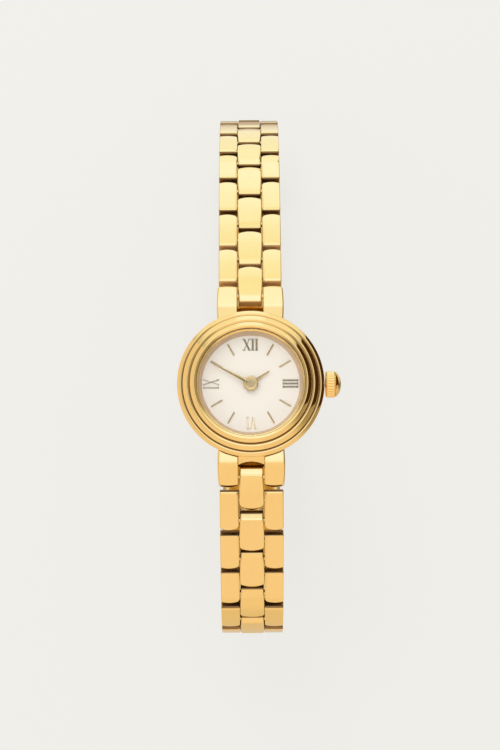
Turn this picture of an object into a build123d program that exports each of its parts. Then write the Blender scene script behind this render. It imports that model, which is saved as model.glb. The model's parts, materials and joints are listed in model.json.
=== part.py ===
from build123d import *
import math
import os

# A small round bracelet watch: a stepped bezel, a two-hand quartz dial, a fluted
# crown, and a three-column link bracelet that closes with a fold-over clasp.
# Millimetres. The origin is the centre of the case back's outer face, +Z leaves
# the dial, +Y points to 12 o'clock and +X to the crown at 3 o'clock.

# Case
case_radius = 9.45
case_height = 2.7
case_wall = 1.8
back_margin = 0.85
back_thickness = 0.6
seat_clearance = 0.03

# Bezel and glass
bezel_overhang = 0.55
bezel_height = 1.95
bezel_width = 2.67
ring_count = 3
ring_riser_share = 0.45
glass_thickness = 0.9
glass_ledge_width = 0.38
glass_below_lip = 0.05
rehaut_width = 0.2

# Dial, markers and hands
dial_clearance = 0.1
dial_thickness = 0.4
hour_count = 12
numeral_step_count = 3
marker_inner_share = 0.66
marker_outer_share = 0.93
marker_width = 0.17
marker_height = 0.2
hand_thickness = 0.12
hour_hand_share = 0.46
hour_hand_width = 0.5
hour_hand_tail = 0.9
hour_hand_above_dial = 0.32
hour_hub_radius = 0.95
minute_hand_share = 0.92
minute_hand_width = 0.46
minute_hand_tail = 1.1
minute_hand_above_dial = 0.64
minute_hub_radius = 0.85
hand_tip_share = 0.35
hour_hand_from_twelve = 57.0
minute_hand_from_twelve = -62.0

# Hand arbors
arbor_radius = 0.3
arbor_clearance = 0.05
pipe_wall = 0.22
hour_wheel_radius = 1.7
hour_wheel_thickness = 0.2
wheel_clearance = 0.05
arbor_depth_in_plate = 0.6

# Quartz movement, its pieces placed and sized by shares of its radius
movement_clearance = 0.15
movement_ceiling = 0.8
battery_radius_share = 0.32
battery_left_share = 0.347
battery_down_share = 0.293
coil_length_share = 0.667
coil_left_share = 0.12
coil_up_share = 0.467
coil_radius = 0.6
coil_flange = 0.3
coil_flange_size = 1.4
pocket_clearance = 0.08

# Crown, stem and setting lever
stem_below_dial = 0.25
crown_radius = 1.8
crown_gap = 0.15
crown_grip = 1.4
crown_dome = 0.75
crown_dome_radius = 1.6
dome_flat_radius = 0.8
crown_flutes = 18
flute_depth = 0.13
crown_pull = 1.0
tube_radius = 0.95
tube_gap = 0.1
stem_radius = 0.4
stem_clearance = 0.06
stem_depth = 3.5
stem_in_crown = 0.9
stem_groove_inset = 0.55
stem_groove_length = 0.5
stem_groove_radius = 0.24
lever_thickness = 0.4
lever_width = 2.2
lever_below_stem = 0.55
lever_above_stem = 0.25
lever_clearance = 0.08
lever_slot_clearance = 0.05

# Bracelet: pin spacing of the centre links and of the side links
centre_link_pins = 3.1
side_link_pins = 2.8
centre_width = 3.2
side_width = 2.58
column_gap = 0.15
link_above_pin = 1.1
link_below_pin = 1.05
centre_end = 1.2
side_end = 1.32
end_round = 0.62
underside_relief = 0.45
relief_height = 0.3
edge_bevel = 0.4
edge_bevel_depth = 0.2
pin_radius = 0.4
pin_clearance = 0.05
pin_sides = 8

# Lugs
lug_reach = 3.05
lug_pin_height = 1.1
lug_width = 2.75
lug_end = 1.2
lug_root_depth = 1.45
lug_root_top = 2.9
lug_root_bottom = 0.7
lug_crown = 0.12

# Turn in degrees at each pin of the closed bracelet, from the lugs to the clasp.
# The last six on the 12 o'clock side and the last twelve on the 6 o'clock side
# lie out of the photograph's sight.
twelve_turns = [17, 4, 0, 0, 3, 3, 4, 6, 5, 6, 5, 6, 6, 7, 18, 18, 18, 17, 13, 12]
six_turns = [8, 8, 15, 4, 3, 3, 10, 11, 12, 12, 17, 17, 16, 12, 9, 7, 5, 4, 3, 3, 3, 3]

# Fold-over clasp, as long as the two chain ends are apart
blade_thickness = 0.5
blade_side_gap = 0.3
blade_gap = 0.3
cover_thickness = 0.6
cover_wall = 0.43
cover_wall_depth = 0.75
hinge_pin_radius = 0.3
hinge_pin_clearance = 0.05
knuckle_gap = 0.15
knuckle_sides = 12
middle_knuckle_width = 2.5
cover_hinge_reach = 3.6
blade_hinge_reach = 5.0
cover_past_blade_hinge = 2.6
eye_radius = 1.0
tongue_thickness = 0.7

overrun = 1.0

# Radii and reaches that follow from the case
case_bore_radius = case_radius - case_wall
back_radius = case_radius - back_margin
bezel_radius = case_radius + bezel_overhang
glass_seat_radius = bezel_radius - bezel_width
glass_radius = glass_seat_radius - seat_clearance
glass_ledge_radius = glass_seat_radius - glass_ledge_width
dial_opening_radius = glass_ledge_radius - rehaut_width
dial_radius = case_bore_radius - dial_clearance
movement_radius = case_bore_radius - movement_clearance
lug_pin_reach = case_radius + lug_reach
lug_root_reach = case_radius - lug_root_depth
crown_start = bezel_radius + crown_gap
stem_inner_end = movement_radius - stem_depth
stem_groove_start = stem_inner_end + stem_groove_inset

# Heights that follow from the stack
case_top = back_thickness + case_height
dial_ledge = case_top - dial_thickness
bezel_top = case_top + bezel_height
glass_top = bezel_top - glass_below_lip
glass_ledge = glass_top - glass_thickness
movement_base = back_thickness
movement_top = dial_ledge
crown_height = dial_ledge - stem_below_dial - stem_radius

# The movement's pockets and the bracelet's columns
battery_radius = movement_radius * battery_radius_share
battery_height = movement_top - movement_base - movement_ceiling
battery_offset = (-movement_radius * battery_left_share, -movement_radius * battery_down_share)
coil_length = movement_radius * coil_length_share
coil_offset = (-movement_radius * coil_left_share, movement_radius * coil_up_share)
column_half = centre_width / 2 + column_gap
bracelet_half = column_half + side_width
blade_width = 2 * (bracelet_half - cover_wall - blade_side_gap)


def disc(radius, low, high):
    return Pos(0, 0, low) * extrude(Circle(radius), high - low)


def rod_x(radius, start, end, y, z):
    return Pos(start, y, z) * (Plane.YZ * extrude(Circle(radius), end - start))


def pin_x(radius, start, end, y, z, sides=pin_sides):
    """A pin or its bore; so many of them repeat that they are drawn with few sides."""
    profile = Plane.YZ * RegularPolygon(radius, sides)
    return Pos(start, y, z) * extrude(profile, end - start)


def bore_x(radius, start, end, y, z):
    """A bore whose flats clear a round pin of the given radius."""
    return pin_x(radius / math.cos(math.pi / pin_sides), start, end, y, z)


def slab(size_x, size_y, low, high, x=0, y=0):
    return Pos(x, y, low) * extrude(Rectangle(size_x, size_y), high - low)


def side_prism(outline, start, end):
    """A prism along X between two places; the outline is drawn in Y and Z."""
    return Pos(start, 0, 0) * extrude(Plane.YZ * outline, end - start)


def closed_outline(points):
    return make_face(Polyline(*points, close=True))


def lathe(outline):
    """Turn an outline drawn in radius and height about the Z axis."""
    return revolve(Plane.XZ * outline, Axis.Z)


# Case, back, bezel and glass


def lug_outline(direction):
    """Side view of a lug: a sloping crown from the case to a bevelled nose."""
    nose = lug_pin_reach + lug_end
    top = lug_pin_height + link_above_pin
    shoulder = (nose - end_round, top)
    root = (lug_root_reach, lug_root_top)
    crown_middle = ((shoulder[0] + root[0]) / 2, (shoulder[1] + root[1]) / 2 + lug_crown)
    points = [
        root,
        crown_middle,
        shoulder,
        (nose, top - end_round),
        (nose, lug_pin_height - relief_height),
        (nose - underside_relief, lug_pin_height - link_below_pin),
        (lug_root_reach, lug_root_bottom),
    ]
    return closed_outline([(direction * y, z) for y, z in points])


def make_lug_pair(direction):
    outline = lug_outline(direction)
    pair = [
        side_prism(outline, column_half, column_half + lug_width),
        side_prism(outline, -column_half - lug_width, -column_half),
    ]
    pin = pin_x(pin_radius, -column_half, column_half, direction * lug_pin_reach, lug_pin_height)
    return pair[0] + pair[1] + pin


def make_case_body():
    body = disc(case_radius, back_thickness, case_top)
    body += make_lug_pair(1)
    body += make_lug_pair(-1)
    body += rod_x(tube_radius, case_bore_radius, crown_start - tube_gap, 0, crown_height)
    body -= disc(case_bore_radius, 0, case_top + overrun)
    body -= bore_x(stem_radius + stem_clearance, 0, crown_start, 0, crown_height)
    return body


def make_case_back():
    return disc(back_radius, 0, back_thickness)


def make_bezel():
    """Three bevelled steps that climb inwards to the glass."""
    ring_width = bezel_width / ring_count
    rise = bezel_height / ring_count
    outline = [(bezel_radius, case_top)]
    for ring in range(ring_count):
        outer, base = bezel_radius - ring * ring_width, case_top + ring * rise
        outline += [(outer, base + ring_riser_share * rise), (outer - ring_width, base + rise)]
    outline += [
        (glass_seat_radius, glass_ledge),
        (glass_ledge_radius, glass_ledge),
        (dial_opening_radius, case_top),
    ]
    return lathe(closed_outline(outline))


def make_crystal():
    return disc(glass_radius, glass_ledge, glass_top)


# Dial, markers and hands


def make_dial():
    plate = disc(dial_radius, dial_ledge, case_top)
    hole = arbor_radius + arbor_clearance + pipe_wall + arbor_clearance
    return plate - disc(hole, dial_ledge, case_top)


def make_hour_markers():
    """Stick markers at the hours between the numerals."""
    inner = dial_opening_radius * marker_inner_share
    outer = dial_opening_radius * marker_outer_share
    stick = slab(marker_width, outer - inner, case_top, case_top + marker_height, y=(inner + outer) / 2)
    hours = [hour for hour in range(hour_count) if hour % numeral_step_count]
    return Compound(children=[Rot(0, 0, -360 * hour / hour_count) * stick for hour in hours])


def hand_blade(length, width, tail, low):
    tip = width * hand_tip_share
    outline = [
        (-width / 2, 0),
        (-tip / 2, length),
        (tip / 2, length),
        (width / 2, 0),
        (tip / 2, -tail),
        (-tip / 2, -tail),
    ]
    return Pos(0, 0, low) * extrude(closed_outline(outline), hand_thickness)


def make_minute_hand():
    low = case_top + minute_hand_above_dial
    length = dial_opening_radius * minute_hand_share
    blade = hand_blade(length, minute_hand_width, minute_hand_tail, low)
    hub = disc(minute_hub_radius, low, low + hand_thickness)
    arbor = disc(arbor_radius, movement_top - arbor_depth_in_plate, low + hand_thickness)
    return Rot(0, 0, -minute_hand_from_twelve) * (blade + hub + arbor)


def make_hour_hand():
    low = case_top + hour_hand_above_dial
    length = dial_opening_radius * hour_hand_share
    blade = hand_blade(length, hour_hand_width, hour_hand_tail, low)
    hub = disc(hour_hub_radius, low, low + hand_thickness)
    pipe_radius = arbor_radius + arbor_clearance + pipe_wall
    return Rot(0, 0, -hour_hand_from_twelve) * (blade + hub - disc(pipe_radius, low, low + hand_thickness))


def make_hour_wheel():
    """The wheel under the dial whose pipe carries the hour hand."""
    low = movement_top - wheel_clearance - hour_wheel_thickness
    bore = arbor_radius + arbor_clearance
    top = case_top + hour_hand_above_dial + hand_thickness
    wheel = disc(hour_wheel_radius, low, low + hour_wheel_thickness)
    return wheel + disc(bore + pipe_wall, low, top) - disc(bore, low, top)


# Movement


def make_movement_plate():
    plate = disc(movement_radius, movement_base, movement_top)
    arbor_hole = arbor_radius + arbor_clearance
    plate -= disc(arbor_hole, movement_top - arbor_depth_in_plate - wheel_clearance, movement_top)
    recess = hour_wheel_thickness + 2 * wheel_clearance
    plate -= disc(hour_wheel_radius + pocket_clearance, movement_top - recess, movement_top)
    cell_top = movement_base + battery_height + pocket_clearance
    cell = disc(battery_radius + pocket_clearance, movement_base, cell_top)
    plate -= Pos(battery_offset[0], battery_offset[1], 0) * cell
    coil_room = coil_length + 2 * (coil_flange + pocket_clearance)
    coil_wide = coil_flange_size + 2 * pocket_clearance
    plate -= slab(
        coil_room,
        coil_wide,
        movement_base,
        movement_base + coil_flange_size + pocket_clearance,
        x=coil_offset[0],
        y=coil_offset[1],
    )
    plate -= bore_x(
        stem_radius + stem_clearance,
        stem_inner_end - lever_clearance,
        movement_radius,
        0,
        crown_height,
    )
    room_start = stem_groove_start - lever_clearance
    room_end = stem_groove_start + stem_groove_length + crown_pull + lever_clearance
    plate -= slab(
        room_end - room_start,
        lever_width + 2 * lever_clearance,
        crown_height - lever_below_stem - lever_clearance,
        movement_top,
        x=(room_start + room_end) / 2,
    )
    return plate


def make_battery():
    cell = disc(battery_radius, movement_base, movement_base + battery_height)
    return Pos(battery_offset[0], battery_offset[1], 0) * cell


def make_stepper_coil():
    """Copper winding between two square flanges."""
    axis_height = movement_base + coil_flange_size / 2
    winding = rod_x(coil_radius, -coil_length / 2, coil_length / 2, 0, axis_height)
    flange_place = (coil_length + coil_flange) / 2
    coil = winding
    for side in (-1, 1):
        coil += slab(
            coil_flange,
            coil_flange_size,
            movement_base,
            movement_base + coil_flange_size,
            x=side * flange_place,
        )
    return Pos(coil_offset[0], coil_offset[1], 0) * coil


# Crown, stem and setting lever


def flute_ring(radius, depth, count):
    points = []
    for step in range(2 * count):
        reach = radius if step % 2 == 0 else radius - depth
        turn = math.pi * step / count
        points.append((reach * math.cos(turn), reach * math.sin(turn)))
    return closed_outline(points)


def make_crown():
    grip = extrude(Plane.YZ * flute_ring(crown_radius, flute_depth, crown_flutes), crown_grip)
    summit = [(dome_flat_radius, crown_dome), (0, crown_dome)]
    cap = lathe(closed_outline([(0, 0), (crown_dome_radius, 0), *summit]))
    dome = Pos(crown_grip, 0, 0) * Rot(0, 90, 0) * cap
    socket = rod_x(stem_radius, 0, stem_in_crown, 0, 0)
    return Pos(crown_start, 0, crown_height) * (grip + dome - socket)


def make_winding_stem():
    groove_end = stem_groove_start + stem_groove_length
    stem = rod_x(stem_radius, stem_inner_end, crown_start + stem_in_crown, 0, crown_height)
    sleeve = rod_x(stem_radius, stem_groove_start, groove_end, 0, crown_height)
    core = rod_x(stem_groove_radius, stem_groove_start, groove_end, 0, crown_height)
    return stem - sleeve + core


def make_setting_lever():
    """A fork that straddles the stem's groove and travels with it."""
    middle = stem_groove_start + stem_groove_length / 2
    slot_half = stem_groove_radius + lever_slot_clearance
    low = crown_height - lever_below_stem
    fork = slab(lever_thickness, lever_width, low, crown_height + lever_above_stem, x=middle)
    slot_floor = crown_height - slot_half
    slot = slab(lever_thickness, 2 * slot_half, slot_floor, crown_height + lever_above_stem, x=middle)
    return fork - slot


# Bracelet


def link_outline(spacing, end):
    """Side view of a link between its pins, with bevelled shoulders and a relieved underside."""
    top = link_above_pin
    bottom = -link_below_pin
    half = [
        (end - underside_relief, bottom),
        (end, -relief_height),
        (end, top - end_round),
        (end - end_round, top),
    ]
    far = [(spacing + y, z) for y, z in half]
    near = [(-y, z) for y, z in reversed(half)]
    return closed_outline(far + near)


def link_body(spacing, end, width, middle):
    """A link with the edges of its top bevelled along both sides."""
    body = side_prism(link_outline(spacing, end), middle - width / 2, middle + width / 2)
    half, top = width / 2, link_above_pin
    section = closed_outline(
        [
            (-half, -link_below_pin),
            (half, -link_below_pin),
            (half, top - edge_bevel_depth),
            (half - edge_bevel, top),
            (edge_bevel - half, top),
            (-half, top - edge_bevel_depth),
        ]
    )
    room = Pos(middle, spacing + end, 0) * extrude(Plane.XZ * section, spacing + 2 * end)
    return body & room


def make_centre_link():
    link = link_body(centre_link_pins, centre_end, centre_width, 0)
    bore = pin_radius + pin_clearance
    for place in (0, centre_link_pins):
        link -= bore_x(bore, -centre_width / 2, centre_width / 2, place, 0)
    return link


def make_side_pair(pin_places):
    middle = column_half + side_width / 2
    pair = link_body(side_link_pins, side_end, side_width, middle)
    pair += link_body(side_link_pins, side_end, side_width, -middle)
    for place in pin_places:
        pair += pin_x(pin_radius, -column_half, column_half, place, 0)
    return pair


def chain_places(turns, direction):
    """Pins and headings of one half of the bracelet, as (y, z, degrees below the dial plane)."""
    y, z, heading = direction * lug_pin_reach, lug_pin_height, 0.0
    places = []
    for index, turn in enumerate(turns):
        heading += turn
        places.append((y, z, heading))
        spacing = centre_link_pins if index % 2 == 0 else side_link_pins
        y += direction * spacing * math.cos(math.radians(heading))
        z -= spacing * math.sin(math.radians(heading))
    return places, (y, z)


def clasp_span():
    """Length and tilt in degrees of the line from the 6 o'clock chain's end to the other."""
    twelve_end = chain_places(twelve_turns, 1)[1]
    six_end = chain_places(six_turns, -1)[1]
    along, across = twelve_end[0] - six_end[0], twelve_end[1] - six_end[1]
    return math.hypot(along, across), math.degrees(math.atan2(across, along))


def link_location(place, direction):
    y, z, heading = place
    turn = Rot(0, 0, 0) if direction > 0 else Rot(0, 0, 180)
    return Pos(0, y, z) * Rot(-direction * heading, 0, 0) * turn


def make_chain(turns, direction, clock_name, open_end):
    centre = make_centre_link()
    pair = make_side_pair((0, side_link_pins))
    last_pair = make_side_pair((0,)) if open_end else pair
    links = {}
    places = chain_places(turns, direction)[0]
    for index, place in enumerate(places):
        is_centre = index % 2 == 0
        shape = centre if is_centre else pair
        if index == len(places) - 1:
            shape = last_pair
        kind = "centre_link" if is_centre else "side_links"
        number = index // 2 + 1
        links[f"{clock_name}_{kind}_{number:02d}"] = link_location(place, direction) * shape
    return links


# Clasp, drawn closed along Y from the 6 o'clock chain's last pin, +Z away from the wrist


def clasp_levels():
    """Heights of the three leaves, with the inner one flush with the links' underside."""
    inner_low = -link_below_pin
    middle_low = inner_low + blade_thickness + blade_gap
    cover_low = middle_low + blade_thickness + blade_gap
    return inner_low, middle_low, cover_low


def hinge_places():
    inner_low, middle_low, cover_low = clasp_levels()
    cover_hinge = (cover_hinge_reach, (middle_low + cover_low + cover_thickness) / 2)
    blade_hinge_along = clasp_span()[0] - blade_hinge_reach
    blade_hinge = (blade_hinge_along, (inner_low + middle_low + blade_thickness) / 2)
    return cover_hinge, blade_hinge


def knuckle_radius():
    inner_low, middle_low, _ = clasp_levels()
    return (middle_low + blade_thickness - inner_low) / 2


def outer_knuckles(place, radius):
    """Two knuckles and their pin, either side of the middle blade's knuckle."""
    inside = middle_knuckle_width / 2 + knuckle_gap
    outside = blade_width / 2
    pair = pin_x(radius, inside, outside, place[0], place[1], knuckle_sides)
    pair += pin_x(radius, -outside, -inside, place[0], place[1], knuckle_sides)
    return pair + rod_x(hinge_pin_radius, -inside, inside, place[0], place[1])


def leaf(width, start, end, low, high):
    return slab(width, end - start, low, high, y=(start + end) / 2)


def knuckle_notch(place, radius):
    """Room for the middle blade's knuckle between the outer ones."""
    width = middle_knuckle_width + 2 * knuckle_gap
    reach = radius + knuckle_gap
    return leaf(width, place[0] - reach, place[0] + reach, place[1] - reach, place[1] + reach)


def make_inner_blade():
    inner_low = clasp_levels()[0]
    blade_hinge = hinge_places()[1]
    radius = knuckle_radius()
    inner_top = inner_low + blade_thickness
    blade = leaf(blade_width, eye_radius + blade_thickness, blade_hinge[0], inner_low, inner_top)
    blade += leaf(centre_width, 0, blade_hinge[0] / 2, inner_low, inner_top)
    blade += pin_x(eye_radius, -centre_width / 2, centre_width / 2, 0, 0, knuckle_sides)
    blade -= knuckle_notch(blade_hinge, radius)
    blade += outer_knuckles(blade_hinge, radius)
    eye = rod_x(pin_radius + pin_clearance, -centre_width / 2, centre_width / 2, 0, 0)
    return blade - eye


def make_middle_blade():
    middle_low = clasp_levels()[1]
    cover_hinge, blade_hinge = hinge_places()
    radius = knuckle_radius()
    clear = radius + knuckle_gap
    blade = leaf(
        blade_width,
        cover_hinge[0] + clear,
        blade_hinge[0] - clear,
        middle_low,
        middle_low + blade_thickness,
    )
    half = middle_knuckle_width / 2
    blade += leaf(
        middle_knuckle_width,
        cover_hinge[0],
        blade_hinge[0],
        middle_low,
        middle_low + blade_thickness,
    )
    for place in (cover_hinge, blade_hinge):
        blade += pin_x(radius, -half, half, place[0], place[1], knuckle_sides)
    for place in (cover_hinge, blade_hinge):
        blade -= bore_x(hinge_pin_radius + hinge_pin_clearance, -half, half, place[0], place[1])
    return blade


def make_cover():
    cover_low = clasp_levels()[2]
    cover_hinge, blade_hinge = hinge_places()
    radius = knuckle_radius()
    cover_end = blade_hinge[0] + cover_past_blade_hinge
    cover_top = cover_low + cover_thickness
    cover = leaf(2 * bracelet_half, cover_hinge[0], cover_end, cover_low, cover_top)
    wall_middle = bracelet_half - cover_wall / 2
    for side in (-1, 1):
        cover += slab(
            cover_wall,
            cover_end - cover_hinge[0],
            cover_low - cover_wall_depth,
            cover_low,
            x=side * wall_middle,
            y=(cover_hinge[0] + cover_end) / 2,
        )
    cover -= knuckle_notch(cover_hinge, radius)
    cover += outer_knuckles(cover_hinge, radius)
    tongue_low = cover_top - tongue_thickness
    last_pin = clasp_span()[0]
    cover += leaf(centre_width, cover_end - tongue_thickness, last_pin, tongue_low, eye_radius)
    half = centre_width / 2
    return cover + pin_x(eye_radius, -half, half, last_pin, 0, knuckle_sides)


def clasp_location():
    six_end = chain_places(six_turns, -1)[1]
    tilt = clasp_span()[1]
    return Pos(0, six_end[0], six_end[1]) * Rot(tilt, 0, 0) * Rot(0, 180, 0)


def make_watch():
    clasp = clasp_location()
    pieces = {
        "case_body": make_case_body(),
        "case_back": make_case_back(),
        "bezel": make_bezel(),
        "crystal": make_crystal(),
        "dial": make_dial(),
        "hour_markers": make_hour_markers(),
        "hour_hand": make_hour_hand(),
        "minute_hand": make_minute_hand(),
        "hour_wheel": make_hour_wheel(),
        "movement_plate": make_movement_plate(),
        "battery": make_battery(),
        "stepper_coil": make_stepper_coil(),
        "crown": make_crown(),
        "winding_stem": make_winding_stem(),
        "setting_lever": make_setting_lever(),
        "clasp_inner_blade": clasp * make_inner_blade(),
        "clasp_middle_blade": clasp * make_middle_blade(),
        "clasp_cover": clasp * make_cover(),
    }
    pieces.update(make_chain(twelve_turns, 1, "twelve", True))
    pieces.update(make_chain(six_turns, -1, "six", False))
    return pieces


def main():
    os.makedirs("parts", exist_ok=True)
    for name, shape in make_watch().items():
        export_step(shape, f"parts/{name}.step")


if __name__ == "__main__":
    main()
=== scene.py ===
import json
import math

import bmesh
import bpy
from bpy.props import FloatProperty, FloatVectorProperty, IntProperty, PointerProperty
from bpy.types import Operator, Panel, PropertyGroup
from mathutils import Matrix, Vector


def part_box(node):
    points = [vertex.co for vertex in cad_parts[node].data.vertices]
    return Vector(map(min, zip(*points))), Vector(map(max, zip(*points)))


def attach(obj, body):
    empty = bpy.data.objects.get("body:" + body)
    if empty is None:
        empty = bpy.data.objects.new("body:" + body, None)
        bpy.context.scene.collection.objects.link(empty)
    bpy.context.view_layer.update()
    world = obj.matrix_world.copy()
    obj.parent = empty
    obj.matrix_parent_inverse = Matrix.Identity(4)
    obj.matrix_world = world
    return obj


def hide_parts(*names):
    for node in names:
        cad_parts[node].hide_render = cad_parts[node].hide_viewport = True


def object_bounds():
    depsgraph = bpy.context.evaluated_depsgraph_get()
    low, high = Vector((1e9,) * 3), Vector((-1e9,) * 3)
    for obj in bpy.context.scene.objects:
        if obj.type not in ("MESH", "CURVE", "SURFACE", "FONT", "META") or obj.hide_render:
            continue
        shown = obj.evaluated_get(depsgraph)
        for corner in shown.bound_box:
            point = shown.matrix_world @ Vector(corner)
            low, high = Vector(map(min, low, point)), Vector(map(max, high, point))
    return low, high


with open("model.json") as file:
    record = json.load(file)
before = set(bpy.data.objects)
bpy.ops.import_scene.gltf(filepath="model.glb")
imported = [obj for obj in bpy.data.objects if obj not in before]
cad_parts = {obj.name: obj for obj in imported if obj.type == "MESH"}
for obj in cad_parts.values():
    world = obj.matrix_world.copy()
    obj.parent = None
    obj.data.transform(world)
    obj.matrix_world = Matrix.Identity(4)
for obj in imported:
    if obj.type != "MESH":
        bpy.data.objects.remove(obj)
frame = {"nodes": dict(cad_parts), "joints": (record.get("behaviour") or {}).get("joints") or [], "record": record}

bl_info = {
    "name": "Bracelet Watch",
    "version": (1, 0, 0),
    "blender": (4, 5, 0),
    "location": "3D View > Sidebar > Watch",
    "description": "Builds the visible pieces of a small gilt bracelet watch and its studio",
    "category": "Object",
}

MM = 0.001
GILT, BRUSHED_GILT = "polished_gold", "brushed_gold"
CAD_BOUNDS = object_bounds()
LYING = Matrix.Rotation(math.pi / 2, 4, "Y")


def corners(node):
    """The low and the high corner of a node's CAD box, in millimetres."""
    return [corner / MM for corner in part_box(node)]


CASE_LOW, CASE_HIGH = corners("case_body")
BACK_LOW, BACK_HIGH = corners("case_back")
BEZEL_LOW, BEZEL_HIGH = corners("bezel")
GLASS_LOW, GLASS_HIGH = corners("crystal")
DIAL_LOW, DIAL_HIGH = corners("dial")
CROWN_LOW, CROWN_HIGH = corners("crown")
MARKER_TOP = corners("hour_markers")[1].z
LINK_SIDE = corners("twelve_side_links_02")[1].x
JOINTS = frame["joints"]
HINGES = {joint["child"]: Vector(joint["pos_m"]) / MM for joint in JOINTS if "pos_m" in joint}
LOWER_LIMITS = {joint["child"]: joint["range_deg"][0] for joint in JOINTS if "range_deg" in joint}


# Sizes and colours that a user would change


def length(name, description, default, low=0.0):
    return FloatProperty(name=name, description=description + ", mm", default=default, min=low)


def degrees(name, description, default):
    return FloatProperty(name=name, description=description + ", degrees", default=default)


def paint(name, description, default):
    return FloatVectorProperty(
        name=name, description=description, subtype="COLOR", default=default, min=0.0, max=1.0
    )


class CaseSizes(PropertyGroup):
    flank_radius: length("Flank radius", "Radius of the case's side", -CASE_LOW.x)
    bore_radius: length("Bore radius", "Radius of the case's bore", 7.65, 1.0)
    flank_swell: length("Flank swell", "How far the case's side bulges", 0.16)
    lug_bulge: length("Lug bulge", "How far a lug swells sideways", 0.16)
    lug_inner: length("Lug pocket", "Half the gap between two lugs", 1.75, 0.1)
    lug_outer: length("Lug outer side", "Distance of a lug's outer side", 4.42)
    lug_root: length("Lug root", "Where a lug starts, from the centre", 8.0)
    lug_nose: length("Lug nose", "Where a lug ends, from the centre", CASE_HIGH.y + 0.2)
    lug_bend: length("Lug bend", "Where a lug starts to slope, from the centre", 10.8)
    lug_root_top: length("Lug root top", "Height of a lug's top at the case", 2.66)
    lug_nose_top: length("Lug nose top", "Height of a lug's top at its nose", 2.15)
    bridge_reach: length("Bridge reach", "Where the bridge between the lugs ends", 10.4)
    bridge_top: length("Bridge top", "Height of the bridge between the lugs", 1.35)
    tube_radius: length("Crown tube radius", "Radius of the tube under the crown", 0.95)


class BezelSizes(PropertyGroup):
    outer_radius: length("Outer radius", "Radius of the bezel", BEZEL_HIGH.x)
    first_step: length("First step", "Radius where the second ring starts", 9.22)
    second_step: length("Second step", "Radius where the third ring starts", 8.23)
    seat_radius: length("Glass seat", "Radius where the third ring ends", 7.33)
    crest_share: FloatProperty(
        name="Crest", description="Where a ring is highest, as a share of its width", default=0.58
    )
    outer_slope: degrees("Outer slope", "Slope of a ring's outer side", 30.0)
    inner_slope: degrees("Inner slope", "Slope of a ring's inner side", 14.0)
    groove: length("Groove", "Width of the groove between two rings", 0.08)
    groove_depth: length("Groove depth", "Depth of a groove under the ring's edge", 0.34)
    dial_opening: length("Dial opening", "Radius of the opening over the dial", 6.64)
    ledge: length("Glass ledge", "Inner radius of the ledge under the glass", 7.1)


class DialSizes(PropertyGroup):
    numeral_height: length("Numeral height", "Height of the twelve and the six", 1.6)
    side_numeral_height: length("Side numeral height", "Height of the three and the nine", 2.1)
    numeral_radius: length("Numeral radius", "Distance of a numeral's centre", 5.38)
    stroke: length("Stroke", "Width of a numeral's heavy stroke", 0.23, 0.02)
    hair_stroke: length("Hair stroke", "Width of a light stroke", 0.08, 0.01)
    numeral_relief: length("Numeral relief", "Height of the numerals over the dial", 0.07)
    hub_radius: length("Hub radius", "Radius of the hub over the hands", 1.0, 0.1)


class CrownSizes(PropertyGroup):
    ribs: IntProperty(name="Ribs", description="Ribs round the grip", default=28, min=6)
    rib_radius: length("Rib radius", "Radius of one rib", 0.18, 0.01)
    dome_radius: length("Dome radius", "Radius of the dome where it meets the grip", 1.72)
    grip_length: length("Grip", "Length of the ribbed grip", 1.4, 0.1)


class LinkSizes(PropertyGroup):
    centre_width: length("Centre width", "Width of a centre link", 3.38, 0.1)
    side_inner: length("Side inner", "Inner side of an outer link", 1.73, 0.1)
    side_outer: length("Side outer", "Outer side of an outer link", LINK_SIDE)
    centre_end: length("Centre end", "How far a centre link passes its pins", 1.34)
    side_end: length("Side end", "How far an outer link passes its pins", 1.42)
    above_pin: length("Above pin", "From a pin's middle to a link's top", 1.07)
    below_pin: length("Below pin", "From a pin's middle to a link's underside", 1.05)
    pin_radius: length("Pin radius", "Radius of a link pin", 0.4, 0.05)
    nose: length("Nose", "Length of the rounded nose at a link's ends", 0.3)
    far_corner: length("Far corner", "Corner radius away from the case", 0.8)
    near_corner: length("Near corner", "Corner radius towards the case", 0.14)
    near_facet: length("Near facet", "Length of a centre link's sloped near end", 1.0)
    near_facet_drop: length("Near facet drop", "How far that slope falls", 0.64)
    crown: length("Crown", "How far a link's top curves down to its ends", 0.09)
    far_arch: length("Far arch", "How far a link's top bends down at its far end", 0.17)
    flank: length("Flank", "Width of the slope beside a slot", 0.36)
    taper: length("Taper", "How much a centre link narrows to its near end", 0.11)


class FinishColours(PropertyGroup):
    gilt: paint("Gilt", "Colour of the polished gold plating", (0.98, 0.74, 0.28))
    dial: paint("Dial", "Colour of the ivory dial", (0.95, 0.91, 0.81))
    backdrop: paint("Backdrop", "Colour of the floor and the background", (0.878, 0.87, 0.835))


SETTINGS = {
    "watch_case": CaseSizes,
    "watch_bezel": BezelSizes,
    "watch_dial": DialSizes,
    "watch_crown": CrownSizes,
    "watch_links": LinkSizes,
    "watch_finish": FinishColours,
}


# Node trees


class Value:
    """A socket whose Python operators add Math nodes to its tree."""

    def __init__(self, maker, socket):
        self.maker, self.socket = maker, socket

    def maths(self, operation, *others):
        return self.maker.maths(operation, self, *others)

    def __add__(self, other):
        return self.maths("ADD", other)

    def __sub__(self, other):
        return self.maths("SUBTRACT", other)

    def __mul__(self, other):
        return self.maths("MULTIPLY", other)

    def __truediv__(self, other):
        return self.maths("DIVIDE", other)

    __radd__ = __add__
    __rmul__ = __mul__


def opaque(colour):
    """A colour with its alpha; a socket stays as it is."""
    return (*colour, 1.0) if isinstance(colour, tuple) else colour


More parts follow.
